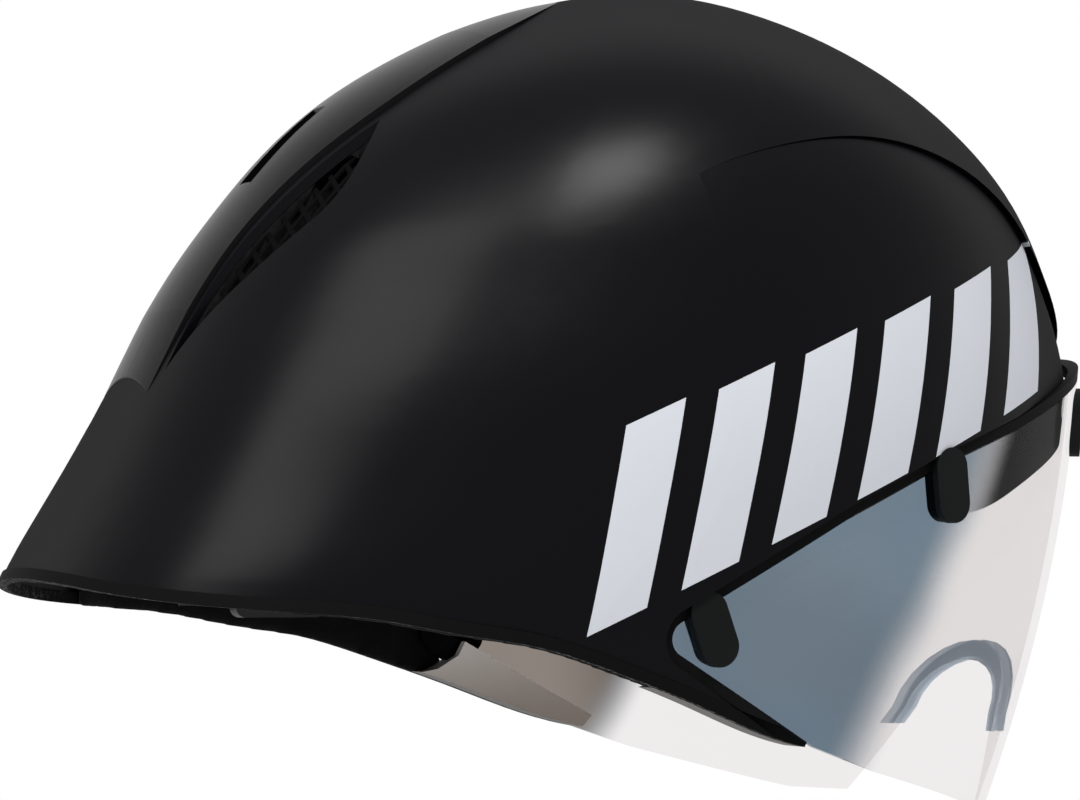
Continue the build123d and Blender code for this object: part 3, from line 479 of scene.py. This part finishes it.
# Hides most of a thin slit past the end of each neck pad
NECK_PAD_GROWTH = 0.5 * MM


def copy_of_node(name, new_name):
    mesh = frame["nodes"][name].data.copy()
    mesh.materials.clear()
    piece = bpy.data.objects.new(new_name, mesh)
    bpy.context.collection.objects.link(piece)
    return piece


def apply_modifiers(piece):
    graph = bpy.context.evaluated_depsgraph_get()
    mesh = bpy.data.meshes.new_from_object(piece.evaluated_get(graph))
    old = piece.data
    piece.modifiers.clear()
    piece.data = mesh
    bpy.data.meshes.remove(old)


def points_of(mesh):
    places = np.empty(len(mesh.vertices) * 3)
    mesh.vertices.foreach_get("co", places)
    return places.reshape(-1, 3)


def set_points(mesh, places):
    mesh.vertices.foreach_set("co", places.astype(np.float32).ravel())
    mesh.update()


def smooth_shaded(mesh):
    mesh.polygons.foreach_set("use_smooth", [True] * len(mesh.polygons))


def remesh(piece, growth):
    """Even faces for the cloth, and a skin a little larger where growth isn't zero."""
    modifier = piece.modifiers.new("remesh", "REMESH")
    modifier.mode = "VOXEL"
    modifier.voxel_size = PAD_VOXEL
    smooth = piece.modifiers.new("smooth", "SMOOTH")
    smooth.factor = PAD_SMOOTHING
    smooth.iterations = PAD_SMOOTHINGS
    if growth > 0:
        grow = piece.modifiers.new("grow", "DISPLACE")
        grow.mid_level = 0
        grow.strength = growth
    apply_modifiers(piece)


def swell(piece):
    """Blows the pad up as cloth, towards the head only, and no further than the caps."""
    rest = points_of(piece.data)
    cloth = piece.modifiers.new("cloth", "CLOTH")
    cloth.settings.use_pressure = True
    cloth.settings.uniform_pressure_force = PAD_PRESSURE
    cloth.settings.effector_weights.gravity = 0
    cloth.settings.quality = PAD_QUALITY
    cloth.settings.mass = PAD_MASS
    cloth.point_cache.frame_end = PAD_FRAMES
    for step in range(1, PAD_FRAMES + 1):
        bpy.context.scene.frame_set(step)
    apply_modifiers(piece)
    move = points_of(piece.data) - rest
    outward = rest / np.linalg.norm(rest, axis=1, keepdims=True)
    along = (move * outward).sum(1, keepdims=True)
    move -= outward * np.maximum(along - PAD_OUTWARD_CAP, 0)
    length = np.linalg.norm(move, axis=1, keepdims=True)
    move *= np.minimum(1, PAD_CAP / np.maximum(length, TINY))
    set_points(piece.data, rest + move)
    bpy.context.scene.frame_set(1)


def build_pad(name, body, growth):
    piece = copy_of_node(name, name + "_cloth")
    remesh(piece, growth)
    swell(piece)
    smooth_shaded(piece.data)
    piece.data.materials.append(MATERIALS["pad_fabric"])
    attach(piece, body)
    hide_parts(name)


# Webbing: ribbons along the straps' middle lines
STRAP_PLANE = 80 * MM
STRAP_THICKNESS = 1.4 * MM
STRAP_WIDTH = 15 * MM
STRAP_FOOT = -42 * MM
STRAP_CUT = 2.3 * MM
STRAP_TOP = STRAP_FOOT - STRAP_CUT
STRAP_LEVEL = -52 * MM
DIVIDER_PLACE = -62 * MM
STRAP_ENDS = (-92 * MM, -42 * MM)
STRAP_SAG = 0.25 * MM
STRAP_STEPS = 16
RIBBON_ACROSS = 8
RIBBON_FILL = 0.92
RIBBON_EDGE_THINNER = 0.75
RIBBON_EDGE_POWER = 8
RIBBON_RIB_DEPTH = 0.12
RIBBON_RIB_TURNS = 1.5
FOLD_FRONT = -71.4 * MM
FOLD_LENGTH = 46 * MM
FOLD_FIRST = 76 * MM
FOLD_STEP = 2.8 * MM
FOLD_COUNT = 3
FOLD_STEPS = 12
FOLD_WAVE = 0.15 * MM
FOLD_WAVE_TURNS = 1.5
BEND_STEPS = 8


def ribbon(name, line, across, out, body, node):
    """A strap along the points of line; across is its width's direction at each, and out its face's."""
    mesh = bpy.data.meshes.new(name)
    build = bmesh.new()
    rings = []
    half = STRAP_WIDTH / 2
    thick = STRAP_THICKNESS / 2 * RIBBON_FILL
    section = []
    for index in range(RIBBON_ACROSS + 1):
        share = -1 + 2 * index / RIBBON_ACROSS
        edge = abs(share) ** RIBBON_EDGE_POWER
        rib = 1 - RIBBON_RIB_DEPTH * math.cos(share * 2 * RIBBON_RIB_TURNS * math.pi)
        section.append((share * half, thick * (1 - RIBBON_EDGE_THINNER * edge) * rib))
    loop = [(a, h) for a, h in section] + [(a, -h) for a, h in reversed(section)]
    for point, side, face in zip(line, across, out):
        rings.append([build.verts.new(Vector(point) + Vector(side) * a + Vector(face) * h) for a, h in loop])
    for first, second in zip(rings, rings[1:]):
        for index in range(len(loop)):
            after = (index + 1) % len(loop)
            build.faces.new((first[index], first[after], second[after], second[index]))
    build.faces.new(list(reversed(rings[0])))
    build.faces.new(rings[-1])
    bmesh.ops.recalc_face_normals(build, faces=build.faces)
    build.to_mesh(mesh)
    build.free()
    smooth_shaded(mesh)
    piece = bpy.data.objects.new(name, mesh)
    bpy.context.collection.objects.link(piece)
    mesh.materials.append(MATERIALS["webbing"])
    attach(piece, body)
    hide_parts(node)


def build_ear_straps(side, hand):
    y = side * (STRAP_PLANE + STRAP_THICKNESS / 2)
    for start, label in zip(STRAP_ENDS, ("rear", "front")):
        first = Vector((start, y, STRAP_FOOT))
        last = Vector((DIVIDER_PLACE, y, STRAP_LEVEL))
        way = (last - first).normalized()
        cut = (first.z - STRAP_TOP + abs(way.x) * STRAP_WIDTH / 2) / -way.z
        across = Vector((-way.z, 0, way.x))
        line, sides, faces = [], [], []
        for step in range(STRAP_STEPS + 1):
            share = step / STRAP_STEPS
            point = first + way * cut + (last - first - way * cut) * share
            point.y -= side * STRAP_SAG * math.sin(math.pi * share)
            line.append(point)
            sides.append(across)
            faces.append(Vector((0, side, 0)))
        ribbon(f"ear_strap_{label}_{hand}", line, sides, faces, "shell", f"ear_straps_{hand}")


def build_chin_strap(side, hand):
    """The strap folded back and forth, as one bent ribbon."""
    rear = FOLD_FRONT - FOLD_LENGTH
    line = []
    for layer in range(FOLD_COUNT):
        y = FOLD_FIRST - FOLD_STEP * layer + STRAP_THICKNESS / 2
        ends = (FOLD_FRONT, rear) if layer % 2 == 0 else (rear, FOLD_FRONT)
        for step in range(FOLD_STEPS + 1):
            x = ends[0] + (ends[1] - ends[0]) * step / FOLD_STEPS
            wave = FOLD_WAVE * math.sin(2 * FOLD_WAVE_TURNS * math.pi * step / FOLD_STEPS)
            line.append(Vector((x, side * (y + wave), STRAP_LEVEL)))
        if layer < FOLD_COUNT - 1:
            bend = -1 if layer % 2 == 0 else 1
            for step in range(1, BEND_STEPS):
                turn = math.pi * step / BEND_STEPS
                line.append(Vector((ends[1] + bend * FOLD_STEP / 2 * math.sin(turn),
                                    side * (y - FOLD_STEP / 2 * (1 - math.cos(turn))), STRAP_LEVEL)))
    across, faces = [], []
    for index in range(len(line)):
        way = line[min(index + 1, len(line) - 1)] - line[max(index - 1, 0)]
        across.append(Vector((0, 0, 1)))
        faces.append(way.normalized().cross(Vector((0, 0, 1))))
    ribbon(f"chin_webbing_{hand}", line, across, faces, "shell", f"chin_strap_{hand}")


def dress_nodes():
    slots = {row["node"]: row["material_slot"] for row in frame["record"]["subparts"]}
    for name, node in frame["nodes"].items():
        material = MATERIALS[slots[name]]
        node.data.materials.clear()
        node.data.materials.append(material)


def build_camera():
    data = bpy.data.cameras.new("camera")
    camera = bpy.data.objects.new("camera", data)
    bpy.context.collection.objects.link(camera)
    back = Vector((math.sin(CAMERA_AZIMUTH) * math.cos(CAMERA_ELEVATION),
                   -math.cos(CAMERA_AZIMUTH) * math.cos(CAMERA_ELEVATION), math.sin(CAMERA_ELEVATION)))
    camera.location = CAMERA_TARGET + back * CAMERA_DISTANCE
    camera.rotation_euler = (-back).to_track_quat("-Z", "Y").to_euler()
    data.sensor_fit = "HORIZONTAL"
    data.sensor_width = SENSOR_WIDTH
    data.lens = FOCAL_PX / FRAME_WIDTH_PX * SENSOR_WIDTH
    data.clip_start = CLIP_START
    bpy.context.scene.camera = camera


def seen_not_lit(tree):
    """One for the rays that see the background: the camera's, and those of gloss and clear plastic."""
    path = add_node(tree, "ShaderNodeLightPath")
    seen = math_node(tree, "MAXIMUM", path.outputs["Is Camera Ray"], path.outputs["Is Transmission Ray"])
    return math_node(tree, "MAXIMUM", seen, path.outputs["Is Glossy Ray"])


def build_world():
    world = bpy.data.worlds.new("room")
    bpy.context.scene.world = world
    world.use_nodes = True
    tree = world.node_tree
    sky = tree.nodes["Background"]
    sky.inputs["Color"].default_value = SKY_COLOUR
    sky.inputs["Strength"].default_value = SKY_STRENGTH
    white = add_node(tree, "ShaderNodeBackground")
    white.inputs["Color"].default_value = WHITE
    mixer = add_node(tree, "ShaderNodeMixShader")
    tree.links.new(seen_not_lit(tree), mixer.inputs[0])
    tree.links.new(sky.outputs[0], mixer.inputs[1])
    tree.links.new(white.outputs[0], mixer.inputs[2])
    tree.links.new(mixer.outputs[0], tree.nodes["World Output"].inputs["Surface"])


def floor_material():
    """Pale matt floor that keeps the shadow near the object and turns white further out."""
    material, tree, shader = new_material("floor")
    set_inputs(shader, color=grey(FLOOR_TONE), rough=0.9, specular=0.1)
    place = split_place(tree)
    x = place["X"]
    y = place["Y"]
    square = math_node(tree, "ADD", math_node(tree, "MULTIPLY", x, x), math_node(tree, "MULTIPLY", y, y))
    far = remap(tree, math_node(tree, "SQRT", square), FLOOR_NEAR, FLOOR_FAR, smooth=True)
    emission = add_node(tree, "ShaderNodeEmission")
    emission.inputs["Color"].default_value = WHITE
    mixer = add_node(tree, "ShaderNodeMixShader")
    tree.links.new(math_node(tree, "MULTIPLY", far, seen_not_lit(tree)), mixer.inputs[0])
    tree.links.new(shader.outputs[0], mixer.inputs[1])
    tree.links.new(emission.outputs[0], mixer.inputs[2])
    tree.links.new(mixer.outputs[0], tree.nodes["Material Output"].inputs["Surface"])
    return material


def build_floor():
    mesh = bpy.data.meshes.new("floor")
    half = FLOOR_SIZE / 2
    corners = [(-half, -half, FLOOR_LEVEL), (half, -half, FLOOR_LEVEL), (half, half, FLOOR_LEVEL),
               (-half, half, FLOOR_LEVEL)]
    mesh.from_pydata(corners, [], [(0, 1, 2, 3)])
    floor = bpy.data.objects.new("floor", mesh)
    bpy.context.collection.objects.link(floor)
    mesh.materials.append(floor_material())


# A square key light over the near side, and a wide strip high behind the tail
LIGHTS = {
    "key": {
        "place": (-0.10, -1.00, 1.26), "aim": (-0.03, -0.04, 0.03),
        "width": 0.4, "height": 0.4, "power": 20,
    },
    "strip": {
        "place": (-0.95, -0.72, 1.12), "aim": (-0.10, -0.03, 0.0),
        "width": 1.0, "height": 0.5, "power": 15,
    },
}


def area_light(name, place, aim, width, height, power):
    data = bpy.data.lights.new(name, "AREA")
    data.shape = "RECTANGLE"
    data.size = width
    data.size_y = height
    data.energy = power
    light = bpy.data.objects.new(name, data)
    bpy.context.collection.objects.link(light)
    light.location = place
    light.rotation_euler = (Vector(aim) - Vector(place)).to_track_quat("-Z", "Y").to_euler()


def build_lights():
    for name, settings in LIGHTS.items():
        area_light(name, **settings)


build_camera()
build_world()
build_floor()
build_lights()
dress_nodes()
for pad in ("brow_pad", "crown_pad", "rear_pad", "side_pad_left", "side_pad_right"):
    build_pad(pad, "shell", 0)
for pad in ("neck_pad_left", "neck_pad_right"):
    build_pad(pad, "shell", NECK_PAD_GROWTH)
build_pad("nape_pad", "cradle", 0)
for strap_side, strap_hand in ((1, "left"), (-1, "right")):
    build_ear_straps(strap_side, strap_hand)
    build_chin_strap(strap_side, strap_hand)
bpy.context.scene.view_settings.view_transform = "Standard"
